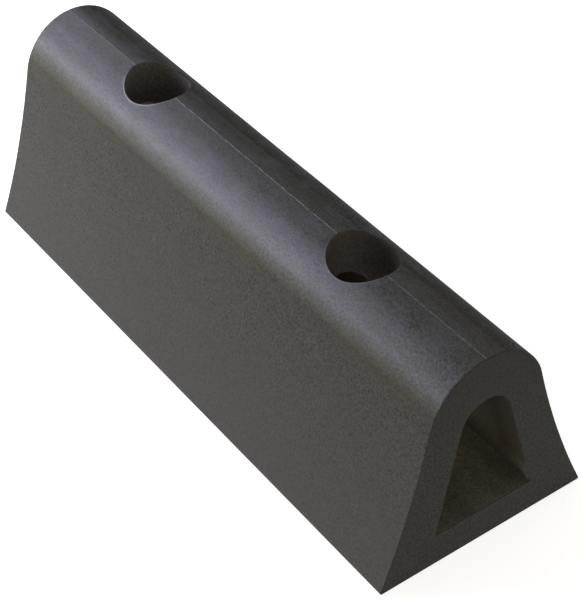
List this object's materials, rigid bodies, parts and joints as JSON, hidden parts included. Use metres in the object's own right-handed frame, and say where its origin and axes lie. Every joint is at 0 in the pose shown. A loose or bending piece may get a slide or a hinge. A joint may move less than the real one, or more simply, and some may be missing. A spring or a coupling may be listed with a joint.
{
  "type": "rubber dock bumper",
  "caption": "Hollow D-profile rubber bumper bar with a through bore, oval access holes in its nose, and lag screws with washers that clamp its flat base.",
  "frame": {"origin": "centre of the flat base, on the face that bears on the wall, dock or ground", "axes": "+X along the length, +Y across, +Z out through the nose, away from the mounting surface"},
  "size_m": [0.3048, 0.1024, 0.155],
  "materials": {
    "rubber": "matt charcoal rubber, cut ends, faint mould line on the nose",
    "zinc_plated_steel": "bright zinc plating"
  },
  "bodies": {
    "bumper": {"rubber_bumper": "rubber"},
    "fixing_1": {"washer_1": "zinc_plated_steel"},
    "screw_1": {"lag_screw_1": "zinc_plated_steel"},
    "fixing_2": {"washer_2": "zinc_plated_steel"},
    "screw_2": {"lag_screw_2": "zinc_plated_steel"}
  },
  "joints": [
    {"name": "fixing_1_lift", "type": "slide", "parent": "bumper", "child": "fixing_1", "axis": [0, 0, 1], "range_m": [0, 0.16]},
    {"name": "screw_1_turn", "type": "hinge", "parent": "fixing_1", "child": "screw_1", "pos_m": [-0.0762, 0, 0.0184], "axis": [0, 0, 1], "continuous": true},
    {"name": "fixing_2_lift", "type": "slide", "parent": "bumper", "child": "fixing_2", "axis": [0, 0, 1], "range_m": [0, 0.16]},
    {"name": "screw_2_turn", "type": "hinge", "parent": "fixing_2", "child": "screw_2", "pos_m": [0.0762, 0, 0.0184], "axis": [0, 0, 1], "continuous": true}
  ]
}
